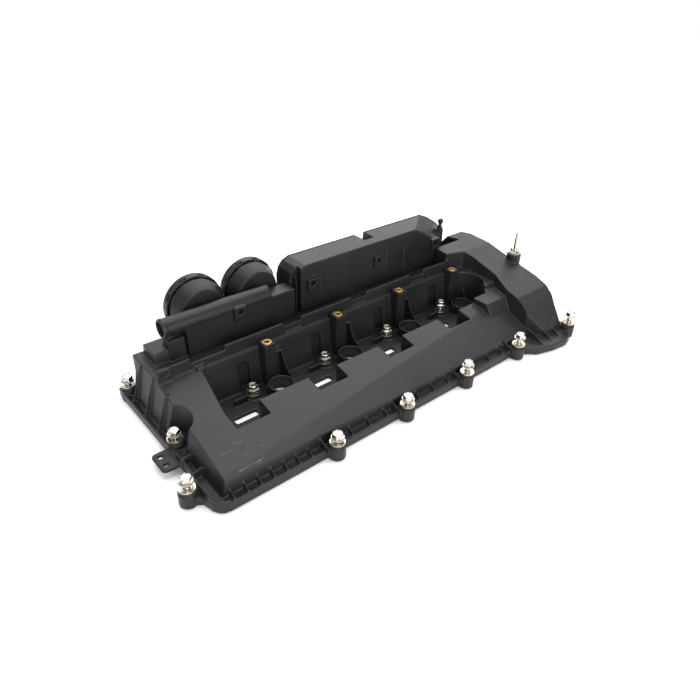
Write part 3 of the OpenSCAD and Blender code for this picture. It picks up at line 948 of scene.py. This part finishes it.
def sleeve_outline(length):
    """Limiter sleeve with its rolled washer, as (radius, height below the top)."""
    return [
        (3.3 * MM, -0.3 * MM),
        (3.3 * MM, -length + 0.3 * MM),
        (3.6 * MM, -length),
        (4.5 * MM, -length),
        (4.8 * MM, -length + 0.3 * MM),
        (4.8 * MM, -1.2 * MM),
        (7.9 * MM, -1.2 * MM),
        (8.2 * MM, -0.95 * MM),
        (8.2 * MM, -0.3 * MM),
        (7.9 * MM, 0.0),
        (4.9 * MM, 0.0),
        (4.5 * MM, -0.25 * MM),
        (4.0 * MM, 0.0),
        (3.6 * MM, 0.0),
    ]


def isolator_outline():
    """Rubber grommet with a rounded rim, as (radius, height below the top)."""
    return [
        (4.8 * MM, 0.0),
        (4.8 * MM, -5.0 * MM),
        (5.0 * MM, -5.0 * MM),
        (5.0 * MM, -3.0 * MM),
        (7.7 * MM, -3.0 * MM),
        (8.4 * MM, -2.5 * MM),
        (8.0 * MM, -1.9 * MM),
        (8.0 * MM, -1.3 * MM),
        (8.4 * MM, -0.7 * MM),
        (7.8 * MM, 0.0),
    ]


class CAMCOVER_OT_sleeves(bpy.types.Operator):
    """Builds the limiter sleeves and their rubber isolators"""

    bl_idname = "camcover.sleeves"
    bl_label = "Sleeves and isolators"

    def execute(self, context):
        steps = context.scene.cover_fasteners.segments
        groups = (
            ("edge_sleeves", "edge_isolators", EDGE_BOLTS),
            ("centre_sleeves", "centre_isolators", CENTRE_BOLTS),
        )
        for sleeves, isolators, bolts in groups:
            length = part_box(sleeves)[1][2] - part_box(sleeves)[0][2]
            mesh = tube_set(sleeves, bolts, sleeve_outline(length), steps)
            adopt(mesh, sleeves + "_turned", [sleeves])
            mesh = tube_set(isolators, bolts, isolator_outline(), steps)
            adopt(mesh, isolators + "_rubber", [isolators])
        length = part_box("stud_sleeve")[1][2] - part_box("stud_sleeve")[0][2]
        mesh = tube_set("stud_sleeve", [STUD], sleeve_outline(length), steps)
        adopt(mesh, "stud_sleeve_turned", ["stud_sleeve"])
        return {"FINISHED"}


class CAMCOVER_OT_inserts(bpy.types.Operator):
    """Builds the brass inserts of the coil posts"""

    bl_idname = "camcover.inserts"
    bl_label = "Thread inserts"

    def execute(self, context):
        steps = context.scene.cover_fasteners.segments
        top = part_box("thread_inserts")[1][2]
        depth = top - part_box("thread_inserts")[0][2]
        posts = [m["pos_m"] for m in frame["record"]["mounts"] if m["name"].startswith("post_thread")]
        work = bmesh.new()
        for x, y, _z in posts:
            outline = [(3.1 * MM, 0.0), (2.6 * MM, -0.5 * MM), (2.6 * MM, -depth)]
            outline += [(5.3 * MM, -depth), (5.6 * MM, -depth + 0.3 * MM), (5.6 * MM, -1.0 * MM)]
            outline += [(5.4 * MM, -0.2 * MM), (4.6 * MM, -0.2 * MM), (4.4 * MM, 0.0)]
            turned_tube(work, outline, Vector((x, y, top)), steps)
        adopt(finished(work, "thread_inserts_turned"), "thread_inserts_turned", ["thread_inserts"])
        return {"FINISHED"}


class CAMCOVER_OT_finishes(bpy.types.Operator):
    """Gives the pieces that keep their CAD shape their finishes"""

    bl_idname = "camcover.finishes"
    bl_label = "Other finishes"

    def execute(self, context):
        for node in (*SEALS, *DIAPHRAGMS, *SPRINGS, "baffle_plate"):
            mesh = frame["nodes"][node].data
            if not mesh.materials:
                raise RuntimeError(node + " has no material slot")
            for index in range(len(mesh.materials)):
                frame["nodes"][node].material_slots[index].material = finish_of(node_slot(node))
        return {"FINISHED"}


def add_area(name, place, target, size, power):
    """A soft rectangular light that faces a point."""
    light = bpy.data.lights.new(name, "AREA")
    light.shape = "RECTANGLE"
    light.size, light.size_y = size
    light.energy = power
    lamp = bpy.data.objects.new(name, light)
    lamp.location = place
    lamp.rotation_euler = (Vector(target) - Vector(place)).to_track_quat("-Z", "Y").to_euler()
    bpy.context.scene.collection.objects.link(lamp)


def add_sun(name, towards, power):
    """A very wide sun that whitens the whole floor without a hard shadow."""
    light = bpy.data.lights.new(name, "SUN")
    light.energy = power
    light.angle = SUN_WIDTH
    lamp = bpy.data.objects.new(name, light)
    lamp.rotation_euler = Vector(towards).to_track_quat("Z", "Y").to_euler()
    bpy.context.scene.collection.objects.link(lamp)


class CAMCOVER_OT_stage(bpy.types.Operator):
    """Sets up the camera, the floor and the studio light"""

    bl_idname = "camcover.stage"
    bl_label = "Stage"

    def execute(self, context):
        s = context.scene.cover_stage
        camera = bpy.data.objects.new("camera", bpy.data.cameras.new("camera"))
        camera.data.lens = s.lens
        camera.data.sensor_width = 36.0
        camera.data.clip_start = 0.01
        camera.data.dof.use_dof = False
        forward = Vector(s.view_direction).normalized()
        right = forward.cross(Vector(s.up_direction)).normalized()
        up = right.cross(forward)
        turn = Matrix((right, up, -forward)).transposed()
        camera.matrix_world = Matrix.Translation(Vector(s.camera_place)) @ turn.to_4x4()
        context.scene.collection.objects.link(camera)
        context.scene.camera = camera
        half = s.floor_size / 2
        ground = CAD_BOX[0][2]
        mesh = bpy.data.meshes.new("floor")
        corners = [
            (-half, -half, ground),
            (half, -half, ground),
            (half, half, ground),
            (-half, half, ground),
        ]
        mesh.from_pydata(corners, [], [(0, 1, 2, 3)])
        mesh.materials.append(studio_white("studio_white"))
        floor = bpy.data.objects.new("floor", mesh)
        context.scene.collection.objects.link(floor)
        world = bpy.data.worlds.new("surround")
        world.use_nodes = True
        background = world.node_tree.nodes["Background"]
        background.inputs["Color"].default_value = (1.0, 1.0, 1.0, 1.0)
        background.inputs["Strength"].default_value = s.world_strength
        context.scene.world = world
        for area_light in AREA_LIGHTS:
            add_area(*area_light)
        add_sun("daylight", SUN_SIDE, SUN_POWER)
        context.scene.view_settings.view_transform = "Standard"
        return {"FINISHED"}


class CAMCOVER_PT_panel(bpy.types.Panel):
    """Runs each step of the finish"""

    bl_idname = "CAMCOVER_PT_panel"
    bl_label = "Cam Cover"
    bl_space_type = "VIEW_3D"
    bl_region_type = "UI"
    bl_category = "Cam Cover"

    def draw(self, context):
        for operator in OPERATORS:
            self.layout.operator(operator.bl_idname)
        for name in SETTINGS:
            group = getattr(context.scene, name)
            for key in group.__annotations__:
                self.layout.prop(group, key)


OPERATORS = (
    CAMCOVER_OT_shell,
    CAMCOVER_OT_fittings,
    CAMCOVER_OT_cap_ribs,
    CAMCOVER_OT_bolts,
    CAMCOVER_OT_sleeves,
    CAMCOVER_OT_inserts,
    CAMCOVER_OT_finishes,
    CAMCOVER_OT_stage,
)
SETTINGS = {
    "cover_moulding": MouldingSettings,
    "cover_caps": CapSettings,
    "cover_fasteners": FastenerSettings,
    "cover_stage": StageSettings,
}


def register():
    for group in SETTINGS.values():
        bpy.utils.register_class(group)
    for name, group in SETTINGS.items():
        setattr(bpy.types.Scene, name, bpy.props.PointerProperty(type=group))
    for operator in OPERATORS:
        bpy.utils.register_class(operator)
    bpy.utils.register_class(CAMCOVER_PT_panel)


def unregister():
    bpy.utils.unregister_class(CAMCOVER_PT_panel)
    for operator in reversed(OPERATORS):
        bpy.utils.unregister_class(operator)
    for name, group in SETTINGS.items():
        delattr(bpy.types.Scene, name)
        bpy.utils.unregister_class(group)


def main():
    register()
    bpy.ops.camcover.shell()
    bpy.ops.camcover.fittings()
    bpy.ops.camcover.cap_ribs()
    bpy.ops.camcover.bolts()
    bpy.ops.camcover.sleeves()
    bpy.ops.camcover.inserts()
    bpy.ops.camcover.finishes()
    bpy.ops.camcover.stage()


if __name__ == "__main__":
    main()
